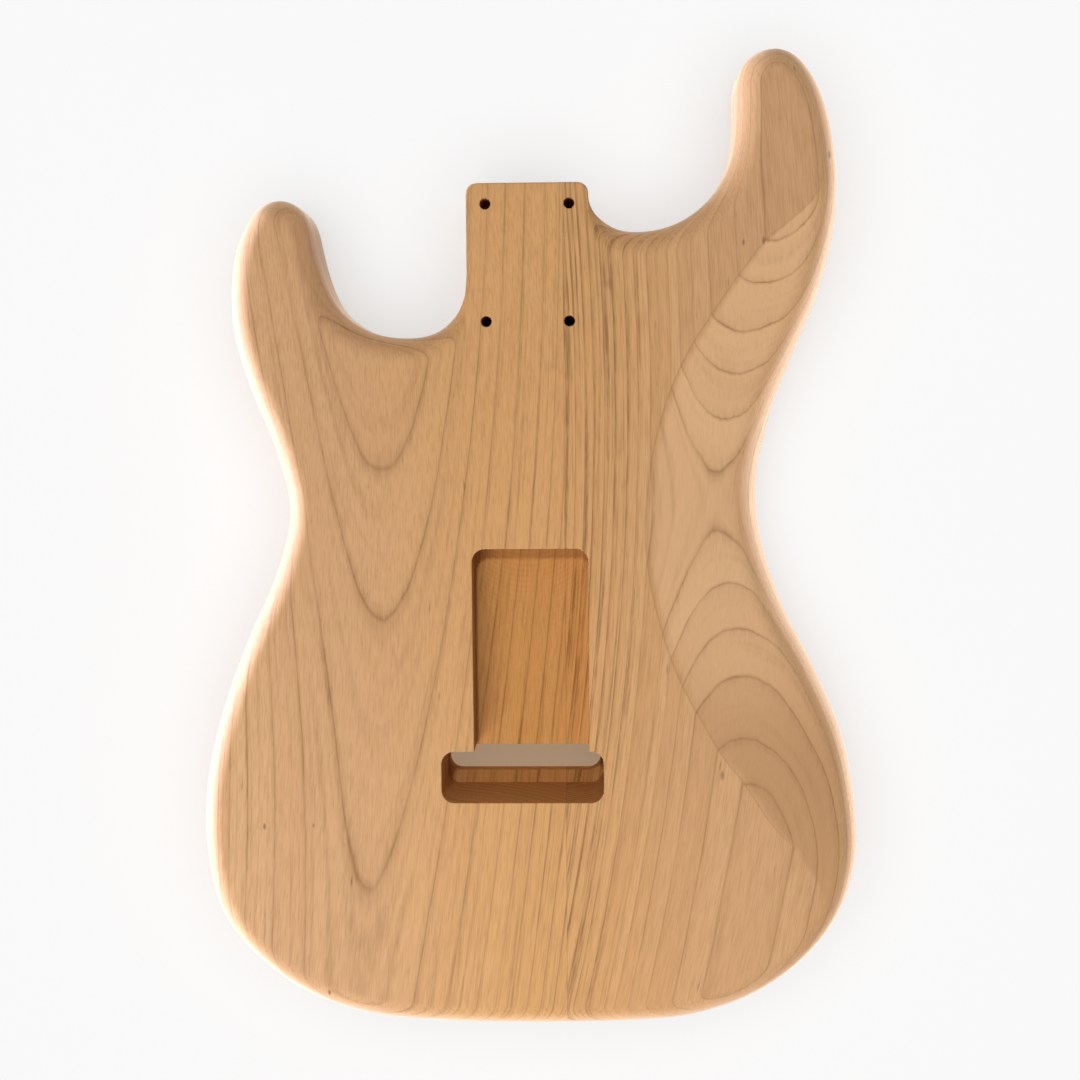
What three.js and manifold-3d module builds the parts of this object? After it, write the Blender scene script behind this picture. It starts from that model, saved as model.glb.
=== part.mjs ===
// Bare double-cutaway electric guitar body, made of two edge-glued planks of alder.
// It lies on its front face, with its back up. Millimetres.
// +Z is up out of the back, +Y points to the neck and +X to the bass side, which has the long horn.
// The origin is under the middle of the body's length and width, on the front face.
import * as THREE from 'three';
import { mergeVertices } from 'three/addons/utils/BufferGeometryUtils.js';
import Module from 'manifold-3d';

const wasm = await Module();
wasm.setup();

// The blank
const bodyLength = 470;
const bodyWidth = 320;
const bodyThickness = 45;
const edgeRadius = 12.7; // round-over of both faces
const centreLineX = 1.4; // line of the neck and bridge, from the middle of the width
const glueLineX = 18; // joint between the two boards
const bassTipRadius = 17; // end of the long horn
const trebleTipRadius = 15.2; // end of the short horn

// The heel, where the neck is bolted on
const heelWidth = 57;
const heelCornerRadius = 5;
const heelEdgeRadius = 1; // the edges are left nearly sharp here

// Neck pocket and its screws
const pocketWall = 2;
const pocketLength = 76;
const pocketDepth = 16;
const pocketCornerRadius = 6;
const screwHoleDiameter = 5;
const screwSpacingX = 39;
const screwSpacingY = 54.1;
const screwSetback = 9.6; // first pair, from the heel's end

// Spring cavity and block cavity in the back
const springWidth = 55.4;
const springLength = 98.2;
const springDepth = 16;
const springNeckEndY = 2.6;
const blockWidth = 78.4;
const blockLength = 25.2;
const blockDepth = 38;
const blockOffsetX = -4.4; // middle of the block cavity, from the centre line
const cavityCornerRadius = 6.2;

// Slot through the floor of the block cavity, cut from the front
const slotWidth = 76.8;
const slotLength = 16.5;
const slotLedge = 6.5; // floor left between the slot and the tail wall

// Pickup cavities in the front
const pickupWidth = 89;
const pickupLength = 22;
const pickupDepth = 16;
const neckPickupY = 67;
const middlePickupY = 7;
const bridgePickupY = -52;
const bridgePickupAngle = 9;

// Control cavity, jack recess and wire channels in the front
const controlLength = 124;
const controlWidth = 42;
const controlDepth = 37;
const controlFromSide = 68; // middle, from the body's treble side
const controlY = -84;
const controlAngle = 64;
const controlCornerRadius = 12;
const jackLength = 48;
const jackWidth = 22;
const jackDepth = 30;
const jackCornerRadius = 8;
const jackFromSide = 51;
const jackFromTail = 50;
const jackAngle = -42;
const wireChannelWidth = 12;
const wireChannelDepth = 13;
const wireChannelOffsetX = -23.4; // of the channel that joins the pickups, from the centre line
const wireChannelCornerRadius = 4;

// Contours on the bass edge: the belly cut in the back and the forearm cut in the front
const bellyDepth = 17;
const bellyWidth = 68;
const forearmDepth = 13;
const forearmWidth = 78;

// One overrun for all cuts
const cutOverrun = 3;

// Counts of flats and strips
const spanSteps = 3; // stations in each stretch between two outline points
const tipSteps = 5; // outline points less one, round each horn's tip
const quarterSteps = 4; // flats in a quarter circle
const contourSteps = 5; // strips across a contour
const holeSides = 20;

// The outline is seen from the back. It runs from the heel's bass foot round the body
// to the heel's treble foot. Both cutaways are in shares of the way from the heel's side
// to the body's side, and of half the length.
const heelEndShare = 0.738;
const bassCutawayShares = [
  [0, 0.704],
  [0.014, 0.683],
  [0.054, 0.664],
  [0.119, 0.647],
  [0.204, 0.645],
  [0.296, 0.655],
  [0.387, 0.682],
  [0.464, 0.7255],
];
const trebleCutawayShares = [
  [0.464, 0.496],
  [0.363, 0.452],
  [0.235, 0.437],
  [0.123, 0.445],
  [0.052, 0.474],
  [0.0105, 0.515],
  [0, 0.557],
];

// A horn's tip is an arc, in degrees. Its middle is in shares of half the width and half the
// length, and the points before and after the arc are in shares of its radius, from its middle.
const bassTip = {
  middleShares: [0.727, 0.9277],
  radius: bassTipRadius,
  beforeShares: [
    [-1.15, -2],
    [-1.005, -0.88],
  ],
  angles: [175, 42],
  afterShares: [
    [1.158, 0.073],
    [1.478, -0.77],
  ],
};
const trebleTip = {
  middleShares: [-0.728, 0.651],
  radius: trebleTipRadius,
  beforeShares: [
    [-1.547, -1.84],
    [-1.379, -0.618],
  ],
  angles: [155, 15],
  afterShares: [
    [1.133, -0.526],
    [1.395, -1.515],
  ],
};

// The edge between the horns, round the tail, in shares of half the width and half the length
const outerEdgeShares = [
  [0.909, 0.779],
  [0.911, 0.66],
  [0.869, 0.523],
  [0.803, 0.404],
  [0.739, 0.285],
  [0.697, 0.149],
  [0.708, 0.034],
  [0.775, -0.115],
  [0.875, -0.251],
  [0.956, -0.383],
  [0.994, -0.519],
  [0.999, -0.632],
  [0.955, -0.751],
  [0.855, -0.851],
  [0.692, -0.935],
  [0.49, -0.983],
  [0.281, -0.996],
  [-0.0125, -1],
  [-0.281, -0.996],
  [-0.502, -0.981],
  [-0.68, -0.94],
  [-0.837, -0.865],
  [-0.95, -0.767],
  [-0.997, -0.638],
  [-0.992, -0.481],
  [-0.943, -0.34],
  [-0.862, -0.1915],
  [-0.7625, -0.0425],
  [-0.7155, 0.085],
  [-0.75, 0.204],
  [-0.822, 0.332],
  [-0.869, 0.4425],
];

// Where the contours start and end, counted along the outer edge's points, and how they swell
// between the two: evenly spaced shares of their depth at the edge and of their width
const belly = {
  start: 0.4,
  end: 11.6,
  depth: bellyDepth,
  width: bellyWidth,
  depthShares: [0, 0.2, 0.5, 0.8, 0.98, 1, 0.85, 0.58, 0.3, 0.1, 0],
  widthShares: [0.19, 0.6, 0.76, 0.75, 0.82, 0.88, 0.95, 1, 0.88, 0.56, 0.19],
};
const forearm = {
  start: 6.5,
  end: 16,
  depth: forearmDepth,
  width: forearmWidth,
  depthShares: [0, 0.3, 0.74, 1, 1, 0.82, 0.46, 0.14, 0],
  widthShares: [0.17, 0.5, 0.82, 1, 0.98, 0.84, 0.6, 0.36, 0.17],
};
const contourBend = 1.3; // 1 is a flat bevel, and more is hollower at the crease
const leastWallShare = 0.06; // of the edge's height, left between the two round-overs
const bendShare = 0.95; // of the edge's own bend, at most, for the round-over
const edgeGrowthSpans = 3; // outline points over which the edge grows from the heel's to its full radius

const halfWidth = bodyWidth / 2;
const halfLength = bodyLength / 2;
const heelEndY = heelEndShare * halfLength;
const heelBassX = centreLineX + heelWidth / 2;
const heelTrebleX = centreLineX - heelWidth / 2;

// Points of a cutaway between the heel's side and the body's side
function cutawayPoints(shares, heelX, sideX) {
  return shares.map(([across, up]) => [THREE.MathUtils.lerp(heelX, sideX, across), up * halfLength]);
}

// Points of a horn's tip, in the order of the outline
function tipPoints({ middleShares, radius, beforeShares, angles, afterShares }) {
  const [middleX, middleY] = [middleShares[0] * halfWidth, middleShares[1] * halfLength];
  const arcShares = Array.from({ length: tipSteps + 1 }, (_, i) => {
    const angle = THREE.MathUtils.degToRad(THREE.MathUtils.lerp(...angles, i / tipSteps));
    return [Math.cos(angle), Math.sin(angle)];
  });
  return [...beforeShares, ...arcShares, ...afterShares].map(([x, y]) => [
    middleX + x * radius,
    middleY + y * radius,
  ]);
}

const bassHorn = [...cutawayPoints(bassCutawayShares, heelBassX, halfWidth), ...tipPoints(bassTip)];
const outline = [
  ...bassHorn,
  ...outerEdgeShares.map(([x, y]) => [x * halfWidth, y * halfLength]),
  ...tipPoints(trebleTip),
  ...cutawayPoints(trebleCutawayShares, heelTrebleX, -halfWidth),
];
const spanCount = outline.length - 1;

// Corner of the heel, as a quarter circle
function heelCorner(middleX, fromAngle, toAngle) {
  const corner = new THREE.Path();
  corner.absarc(middleX, heelEndY - heelCornerRadius, heelCornerRadius, fromAngle, toAngle, true);
  return corner.getPoints(quarterSteps / 2).map((point) => ({ point, along: 0 }));
}

// The closed edge, anticlockwise seen from the back. Each point knows how far it lies
// along the outline points; the heel's points count as 0.
function edgePoints() {
  const through = outline.map(([x, y]) => new THREE.Vector3(x, y, 0));
  const curve = new THREE.CatmullRomCurve3(through, false, 'centripetal');
  const swept = curve.getPoints(spanCount * spanSteps).map((p, i) => ({
    point: new THREE.Vector2(p.x, p.y),
    along: i / spanSteps,
  }));
  const trebleCorner = heelCorner(heelTrebleX + heelCornerRadius, Math.PI, Math.PI / 2);
  const bassCorner = heelCorner(heelBassX - heelCornerRadius, Math.PI / 2, 0);
  return [...swept, ...trebleCorner, ...bassCorner].reverse();
}

// Value at a share of the way along a row of evenly spaced shares
function shareAt(shares, along) {
  const points = shares.map((share, i) => new THREE.Vector2(i / (shares.length - 1), share));
  return Math.max(new THREE.SplineCurve(points).getPoint(along).y, 0);
}

// Depth and width of a contour at a place along the outline points
function contourAt(contour, along) {
  const share = (along - bassHorn.length - contour.start) / (contour.end - contour.start);
  if (share <= 0 || share >= 1) return { depth: 0, width: 0 };
  return {
    depth: contour.depth * shareAt(contour.depthShares, share),
    width: contour.width * shareAt(contour.widthShares, share),
  };
}

// How much of the full round-over the edge has, from 0 at the heel to 1
function edgeGrowth(along) {
  return THREE.MathUtils.smoothstep(Math.min(along, spanCount - along), 0, edgeGrowthSpans);
}

// Radius of the edge's outward bend from one of its points to the next
function bendAfter({ point, inward }, next) {
  const step = next.point.clone().sub(point);
  const closing = inward.clone().sub(next.inward).dot(step);
  return closing > 0 ? step.lengthSq() / closing : Infinity;
}

// Runs a function over each value of a closed row with its neighbours, one outline span each way
function overNeighbours(values, combine) {
  const offsets = Array.from({ length: 2 * spanSteps + 1 }, (_, k) => k - spanSteps);
  return values.map((_, i) => combine(offsets.map((offset) => values.at((i + offset) % values.length))));
}

// The edge's points with their inward direction, contours and round-over. Where the edge
// bends tightly, the round-over is a little smaller, so that its two ends don't cross.
function edgeStations() {
  const edge = edgePoints().map(({ point, along }, i, all) => {
    const run = all[(i + 1) % all.length].point.clone().sub(all.at(i - 1).point).normalize();
    return { point, along, inward: new THREE.Vector2(-run.y, run.x) };
  });
  const bends = edge.map((place, i) => bendAfter(place, edge[(i + 1) % edge.length]));
  const tightest = overNeighbours(bends, (near) => Math.min(edgeRadius / bendShare, ...near));
  const limits = overNeighbours(tightest, (near) => near.reduce((sum, bend) => sum + bend) / near.length);
  return edge.map(({ point, along, inward }, i) => {
    const back = contourAt(belly, along);
    const front = contourAt(forearm, along);
    const height = bodyThickness - back.depth - front.depth;
    const grown = THREE.MathUtils.lerp(heelEdgeRadius, edgeRadius, edgeGrowth(along));
    const radius = Math.min(grown, bendShare * limits[i], (height * (1 - leastWallShare)) / 2);
    return { point, inward, back, front, radius };
  });
}

// Drop of a contoured face at a distance in from the edge
function dropAt(contour, inset) {
  if (inset >= contour.width) return 0;
  return contour.depth * (1 - inset / contour.width) ** contourBend;
}

// Point of a face at a distance in from the edge, lowered by fall
function facePoint(station, face, inset, fall) {
  const { x, y } = station.point.clone().addScaledVector(station.inward, inset);
  const depth = fall + dropAt(station[face], inset);
  return [x, y, face === 'back' ? bodyThickness - depth : depth];
}

// Point of the round-over: turn is 0 where it meets the face and a quarter circle on the wall
function roundPoint(station, face, turn) {
  const inset = station.radius * (1 - Math.sin(turn));
  return facePoint(station, face, inset, station.radius * (1 - Math.cos(turn)));
}

function addTriangle(mesh, [a, b, c], asGiven) {
  if (a === b || b === c || a === c) return;
  mesh.triangles.push(...(asGiven ? [a, b, c] : [a, c, b]));
}

function addQuad(mesh, [a, b, c, d], asGiven) {
  addTriangle(mesh, [a, b, c], asGiven);
  addTriangle(mesh, [a, c, d], asGiven);
}

// Adds one face inside the first ring of its round-over: the strips of the contour,
// and the flat rest
function addFace(mesh, stations, face, ringStart) {
  const facingUp = face === 'back';
  const carved = stations.map((station) => station[face].width > station.radius);
  const stripStart = stations.map((station, i) => {
    const start = mesh.points.length;
    for (let j = 1; carved[i] && j <= contourSteps; j += 1) {
      const inset = THREE.MathUtils.lerp(station.radius, station[face].width, j / contourSteps);
      mesh.points.push(facePoint(station, face, inset, 0));
    }
    return start;
  });
  const vertex = (i, j) => (carved[i] && j > 0 ? stripStart[i] + j - 1 : ringStart + i);
  stations.forEach((station, i) => {
    const next = (i + 1) % stations.length;
    for (let j = 0; (carved[i] || carved[next]) && j < contourSteps; j += 1) {
      addQuad(mesh, [vertex(i, j), vertex(next, j), vertex(next, j + 1), vertex(i, j + 1)], facingUp);
    }
  });
  const rim = stations.map((station, i) => vertex(i, contourSteps));
  const flat = rim.map((index) => new THREE.Vector2(...mesh.points[index]));
  THREE.ShapeUtils.triangulateShape(flat, []).forEach(([a, b, c]) => {
    addTriangle(mesh, [rim[a], rim[b], rim[c]], facingUp);
  });
}

// The whole body before it is parted into boards and the cavities are cut
function blankGeometry() {
  const stations = edgeStations();
  const turns = Array.from({ length: quarterSteps + 1 }, (_, k) => (k / quarterSteps) * (Math.PI / 2));
  const rings = [
    ...turns.map((turn) => ['front', turn]),
    ...turns.toReversed().map((turn) => ['back', turn]),
  ];
  const mesh = { points: [], triangles: [] };
  rings.forEach(([face, turn]) => {
    mesh.points.push(...stations.map((station) => roundPoint(station, face, turn)));
  });
  const count = stations.length;
  for (let ring = 0; ring < rings.length - 1; ring += 1) {
    for (let i = 0; i < count; i += 1) {
      const low = ring * count;
      const next = (i + 1) % count;
      addQuad(mesh, [low + i, low + next, low + count + next, low + count + i], true);
    }
  }
  addFace(mesh, stations, 'front', 0);
  addFace(mesh, stations, 'back', (rings.length - 1) * count);
  const geometry = new THREE.BufferGeometry();
  geometry.setAttribute('position', new THREE.Float32BufferAttribute(mesh.points.flat(), 3));
  geometry.setIndex(mesh.triangles);
  return geometry;
}

// Solid of a closed geometry, for cutting
function solidOf(geometry) {
  const bare = geometry.clone();
  bare.deleteAttribute('normal');
  bare.deleteAttribute('uv');
  const merged = mergeVertices(bare);
  return new wasm.Manifold(
    new wasm.Mesh({
      numProp: 3,
      vertProperties: merged.attributes.position.array,
      triVerts: new Uint32Array(merged.index.array),
    }),
  );
}

// Rectangle with round corners, its middle at the origin
function roundedRectangle(width, length, radius) {
  const shape = new THREE.Shape();
  const x = width / 2 - radius;
  const y = length / 2 - radius;
  const quarter = Math.PI / 2;
  shape.absarc(x, y, radius, 0, quarter);
  shape.absarc(-x, y, radius, quarter, quarter * 2);
  shape.absarc(-x, -y, radius, quarter * 2, quarter * 3);
  shape.absarc(x, -y, radius, quarter * 3, quarter * 4);
  return shape;
}

// Upright cutter between two heights
function cutter(shape, x, y, lowZ, highZ, angle = 0) {
  const geometry = new THREE.ExtrudeGeometry(shape, {
    depth: highZ - lowZ,
    bevelEnabled: false,
    curveSegments: quarterSteps / 2,
  });
  geometry.rotateZ(THREE.MathUtils.degToRad(angle));
  geometry.translate(x, y, lowZ);
  return solidOf(geometry);
}

// Cutters that enter from one face and stop at a depth
function backCutter(shape, x, y, depth, angle) {
  return cutter(shape, x, y, bodyThickness - depth, bodyThickness + cutOverrun, angle);
}

function frontCutter(shape, x, y, depth, angle) {
  return cutter(shape, x, y, -cutOverrun, depth, angle);
}

// Neck pocket: open at the heel's end, so the cutter and its round corners run out past it
function neckPocket() {
  const length = pocketLength + pocketCornerRadius + cutOverrun;
  const shape = roundedRectangle(heelWidth - 2 * pocketWall, length, pocketCornerRadius);
  return [frontCutter(shape, centreLineX, heelEndY - pocketLength + length / 2, pocketDepth)];
}

// Four holes for the neck screws, from the back into the neck pocket
function screwHoles() {
  const radius = screwHoleDiameter / 2;
  const height = bodyThickness - pocketDepth + 2 * cutOverrun;
  const middleY = heelEndY - screwSetback - screwSpacingY / 2;
  return [-1, 1].flatMap((sideX) =>
    [-1, 1].map((sideY) => {
      const hole = new THREE.CylinderGeometry(radius, radius, height, holeSides);
      hole.rotateX(Math.PI / 2);
      const x = centreLineX + (sideX * screwSpacingX) / 2;
      const y = middleY + (sideY * screwSpacingY) / 2;
      hole.translate(x, y, (bodyThickness + pocketDepth) / 2);
      return solidOf(hole);
    }),
  );
}

// Cavities in the back, and the slot for the tremolo block under them. The spring cavity's
// cutter runs on into the block cavity, so that no wall is left between them.
function backCavities() {
  const blockX = centreLineX + blockOffsetX;
  const blockNeckEndY = springNeckEndY - springLength;
  const blockTailEndY = blockNeckEndY - blockLength;
  const blockFloor = bodyThickness - blockDepth;
  const springRun = springLength + blockLength / 2;
  const spring = roundedRectangle(springWidth, springRun, cavityCornerRadius);
  const block = roundedRectangle(blockWidth, blockLength, cavityCornerRadius);
  const slot = roundedRectangle(slotWidth, slotLength, cavityCornerRadius);
  return [
    backCutter(spring, centreLineX, springNeckEndY - springRun / 2, springDepth),
    backCutter(block, blockX, (blockNeckEndY + blockTailEndY) / 2, blockDepth),
    frontCutter(slot, blockX, blockTailEndY + slotLedge + slotLength / 2, blockFloor + cutOverrun),
  ];
}

// Cavities in the front for three single-coil pickups
function pickupCavities() {
  const shape = roundedRectangle(pickupWidth, pickupLength, cavityCornerRadius);
  return [
    frontCutter(shape, centreLineX, neckPickupY, pickupDepth),
    frontCutter(shape, centreLineX, middlePickupY, pickupDepth),
    frontCutter(shape, centreLineX, bridgePickupY, pickupDepth, bridgePickupAngle),
  ];
}

// Channel in the front for wires, between two points
function wireChannel(fromX, fromY, toX, toY) {
  const run = new THREE.Vector2(toX - fromX, toY - fromY);
  const shape = roundedRectangle(run.length() + wireChannelWidth, wireChannelWidth, wireChannelCornerRadius);
  const angle = THREE.MathUtils.radToDeg(run.angle());
  return frontCutter(shape, (fromX + toX) / 2, (fromY + toY) / 2, wireChannelDepth, angle);
}

// Control cavity and jack recess in the front, and the channels that join them and the pickups
function wiringCavities() {
  const controlX = controlFromSide - halfWidth;
  const jackX = jackFromSide - halfWidth;
  const jackY = jackFromTail - halfLength;
  const pickupWireX = centreLineX + wireChannelOffsetX;
  const control = roundedRectangle(controlLength, controlWidth, controlCornerRadius);
  const jack = roundedRectangle(jackLength, jackWidth, jackCornerRadius);
  return [
    frontCutter(control, controlX, controlY, controlDepth, controlAngle),
    frontCutter(jack, jackX, jackY, jackDepth, jackAngle),
    wireChannel(pickupWireX, neckPickupY, pickupWireX, bridgePickupY),
    wireChannel(pickupWireX, bridgePickupY, controlX, controlY + controlWidth / 2),
    wireChannel(controlX, controlY, jackX, jackY),
  ];
}

// Block that holds all of the body between two planes across its width
function slabBetween(lowX, highX) {
  const length = bodyLength + 2 * cutOverrun;
  const height = bodyThickness + 2 * cutOverrun;
  const box = new THREE.BoxGeometry(highX - lowX, length, height);
  box.translate((lowX + highX) / 2, 0, bodyThickness / 2);
  return solidOf(box);
}

function board(name, solid, colour) {
  const cut = solid.getMesh();
  const geometry = new THREE.BufferGeometry();
  geometry.setAttribute('position', new THREE.BufferAttribute(cut.vertProperties, 3));
  geometry.setIndex(new THREE.BufferAttribute(cut.triVerts, 1));
  const material = new THREE.MeshStandardMaterial({ color: colour, roughness: 0.75, metalness: 0 });
  const mesh = new THREE.Mesh(geometry, material);
  mesh.name = name;
  return mesh;
}

const cuts = [neckPocket(), screwHoles(), backCavities(), pickupCavities(), wiringCavities()].flat();
const routed = cuts.reduce((body, cut) => body.subtract(cut), solidOf(blankGeometry()));
const trebleSide = slabBetween(-halfWidth - cutOverrun, glueLineX);
const bassSide = slabBetween(glueLineX, halfWidth + cutOverrun);

const guitarBody = new THREE.Group();
guitarBody.add(board('treble_board', routed.intersect(trebleSide), 0xcf9f6c));
guitarBody.add(board('bass_board', routed.intersect(bassSide), 0xc9986a));

export default guitarBody;
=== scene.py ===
import math

import bmesh
import bpy
import numpy as np
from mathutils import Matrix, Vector
from mathutils.bvhtree import BVHTree
from mathutils.kdtree import KDTree


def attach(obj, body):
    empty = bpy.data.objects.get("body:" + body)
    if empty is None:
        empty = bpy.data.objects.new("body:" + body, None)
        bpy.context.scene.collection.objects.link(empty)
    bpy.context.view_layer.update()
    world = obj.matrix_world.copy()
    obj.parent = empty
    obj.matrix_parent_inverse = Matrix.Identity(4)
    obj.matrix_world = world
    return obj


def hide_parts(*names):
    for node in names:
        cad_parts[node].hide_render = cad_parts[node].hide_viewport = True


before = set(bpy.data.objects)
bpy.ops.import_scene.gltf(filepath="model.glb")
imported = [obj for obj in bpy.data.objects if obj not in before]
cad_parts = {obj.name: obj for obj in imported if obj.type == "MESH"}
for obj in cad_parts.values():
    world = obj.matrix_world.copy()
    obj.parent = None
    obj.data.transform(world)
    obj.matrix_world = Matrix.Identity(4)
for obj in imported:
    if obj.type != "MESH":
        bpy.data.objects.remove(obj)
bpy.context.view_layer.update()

# Back of a bare alder guitar body, lying on its front. Sizes below are in mm unless noted.
mm = 0.001

# Camera and studio

cameraSetup = {
    "place": (23.69, 72.87, 715.1),
    "turn": (-5.631, 1.445, -0.449),  # degrees
    "lens": 47.33,
    "sensorWidth": 36,
    "clip": (0.01, 100),  # metres
}
studio = {
    "skyLight": 0.27,
    "backdrop": 0.94,  # what the camera sees beyond the floor
    # paper: place of its corners, height, colour, and glow. The floor is a light table, and
    # under the body lie two cards, out of sight but for the slot and the screw holes. The slot's
    # card is painted light, a dim warm glow for the shaded ground seen through the slot; the
    # neck's card is painted shade, a dark sheet that keeps the screw holes black.
    "floor": {
        "corners": (-4500, 4500, -4500, 4500), "height": -0.3, "colour": "#808080", "glow": 2.31,
    },
    # painted light: this card glows dimly and warmly, for the shaded ground seen in the slot
    "slotGlowCard": {"corners": (-46, 42, -126, -88), "height": 0, "colour": "#E7D4B4", "glow": 0.28},
    # painted shade: a dark card under the neck pocket keeps the screw holes black
    "neckShadeCard": {"corners": (-25, 28, 96, 172), "height": 0, "colour": "#15120F", "glow": 0.0},
    "floorLamp": {"strength": 5.6, "spread": 100},  # even, from above; lights only the floor
    # lamps that light only the wood: a softbox, a smaller lamp on the neck's side that shades the
    # cavities' neck ends, and strips below the table's level, which reach only the round edges,
    # as light does that comes up from a bright table. The bass strip lights the bass board alone.
    "lamps": {
        "softbox": {"place": (-430, -800, 780), "size": (600, 600), "power": 8.7},  # watts
        "neckLamp": {"place": (-300, 1400, 3500), "size": (300, 300), "power": 48},
        "trebleStrip": {
            "place": (-1150, -60, -130), "size": (1000, 220), "power": 42, "colour": "#D8E2FF",
        },
        "bassStrip": {"place": (1150, -40, -500), "size": (1000, 110), "power": 17},
        "tailStrip": {"place": (-150, -1250, -250), "size": (1000, 160), "power": 6},
    },
}


def hexToLinear(code):
    parts = [int(code[i : i + 2], 16) / 255 for i in (1, 3, 5)]
    parts = [c / 12.92 if c <= 0.04045 else ((c + 0.055) / 1.055) ** 2.4 for c in parts]
    return (*parts, 1.0)


# Adds a node, sets its properties, and links or sets its inputs. A node that is given as an
# input stands for its first output.
def addNode(tree, kind, inputs=None, **settings):
    node = tree.nodes.new(kind)
    for name, value in settings.items():
        setattr(node, name, value)
    for key, value in (inputs or {}).items():
        if isinstance(value, bpy.types.Node):
            value = value.outputs[0]
        if isinstance(value, bpy.types.NodeSocket):
            tree.links.new(value, node.inputs[key])
        else:
            node.inputs[key].default_value = value
    return node


def calculate(tree, operation, *values, **settings):
    values = dict(enumerate(values))
    return addNode(tree, "ShaderNodeMath", values, operation=operation, **settings)


# Turns values between two levels into values between two others, and goes no further
def rescale(tree, value, fromLow, fromHigh, toLow=0.0, toHigh=1.0, soft=False):
    levels = {0: value, 1: fromLow, 2: fromHigh, 3: toLow, 4: toHigh}
    kind = "SMOOTHSTEP" if soft else "LINEAR"
    return addNode(tree, "ShaderNodeMapRange", levels, interpolation_type=kind)


def setUpCamera(setup):
    camera = bpy.data.cameras.new("photoCamera")
    camera.lens = setup["lens"]
    camera.sensor_width = setup["sensorWidth"]
    camera.clip_start, camera.clip_end = setup["clip"]
    holder = bpy.data.objects.new("photoCamera", camera)
    holder.location = Vector(setup["place"]) * mm
    holder.rotation_euler = [math.radians(a) for a in setup["turn"]]
    bpy.context.collection.objects.link(holder)
    bpy.context.scene.camera = holder


def setUpPaper(name, paper):
    lowX, highX, lowY, highY = paper["corners"]
    z = paper["height"]
    mesh = bpy.data.meshes.new(name)
    corners = [(lowX, lowY, z), (highX, lowY, z), (highX, highY, z), (lowX, highY, z)]
    mesh.from_pydata([Vector(c) * mm for c in corners], [], [(0, 1, 2, 3)])
    sheet = bpy.data.objects.new(name, mesh)
    bpy.context.collection.objects.link(sheet)
    material = bpy.data.materials.new("paper_" + name)
    material.use_nodes = True
    tree = material.node_tree
    tree.nodes.clear()
    surface = {
        "Base Color": hexToLinear(paper["colour"]),
        "Roughness": 0.9,
        "Specular IOR Level": 0.1,
        "Emission Color": hexToLinear(paper["colour"]),
        "Emission Strength": paper["glow"],
    }
    surface = addNode(tree, "ShaderNodeBsdfPrincipled", surface)
    addNode(tree, "ShaderNodeOutputMaterial", {"Surface": surface})
    mesh.materials.append(material)
    return sheet


def setUpWorld(setup):
    world = bpy.data.worlds.new("white_studio")
    bpy.context.scene.world = world
    world.use_nodes = True
    tree = world.node_tree
    tree.nodes.clear()
    seen = addNode(tree, "ShaderNodeLightPath").outputs["Is Camera Ray"]
    level = rescale(tree, seen, 0.0, 1.0, setup["skyLight"], setup["backdrop"])
    sky = addNode(tree, "ShaderNodeBackground", {"Color": (1, 1, 1, 1), "Strength": level})
    addNode(tree, "ShaderNodeOutputWorld", {"Surface": sky})


# Rectangular lamp that faces the middle of the body
def setUpLamp(name, lamp):
    data = bpy.data.lights.new(name, "AREA")
    data.shape = "RECTANGLE"
    data.size, data.size_y = (length * mm for length in lamp["size"])
    data.energy = lamp["power"]
    data.color = hexToLinear(lamp.get("colour", "#FFFFFF"))[:3]
    holder = bpy.data.objects.new(name, data)
    holder.location = Vector(lamp["place"]) * mm
    holder.rotation_euler = holder.location.to_track_quat("Z", "Y").to_euler()
    bpy.context.collection.objects.link(holder)
    return holder


# Wide even lamp overhead, which leaves a soft shadow all round the body
def setUpFloorLamp(lamp):
    data = bpy.data.lights.new("floorLamp", "SUN")
    data.energy = lamp["strength"]
    data.angle = math.radians(lamp["spread"])
    holder = bpy.data.objects.new("floorLamp", data)
    bpy.context.collection.objects.link(holder)
    return holder


setUpCamera(cameraSetup)
setUpWorld(studio)
floorOnly = bpy.data.collections.new("floorOnly")
woodOnly = bpy.data.collections.new("woodOnly")
bassOnly = bpy.data.collections.new("bassOnly")
woodAndCards = bpy.data.collections.new("woodAndCards")
for paperName in ("floor", "slotGlowCard", "neckShadeCard"):
    sheet = setUpPaper(paperName, studio[paperName])
    (floorOnly if paperName == "floor" else woodAndCards).objects.link(sheet)
setUpFloorLamp(studio["floorLamp"]).light_linking.receiver_collection = floorOnly
for lampName, lamp in studio["lamps"].items():
    linking = setUpLamp(lampName, lamp).light_linking
    linking.receiver_collection = bassOnly if lampName == "bassStrip" else woodOnly
    linking.blocker_collection = woodAndCards
bpy.context.scene.view_settings.view_transform = "Standard"
print("camera, floor and lights ready")

# Shape of the body. The outline is seen from the back, from the heel's bass foot round the
# body to the heel's treble foot.

bodySizes = {
    "length": 470,
    "width": 320,
    "thickness": 45,
    "edgeRadius": 12.7,
    "heelEdgeRadius": 1,
    "centreLineX": 1.4,
    "glueLineX": 18,
    "heelWidth": 57,
    "heelEnd": 0.738,  # share of half the length
    "heelCornerRadius": 5,
    "mostRounding": 0.47,  # of the height that the contours leave
}
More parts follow.
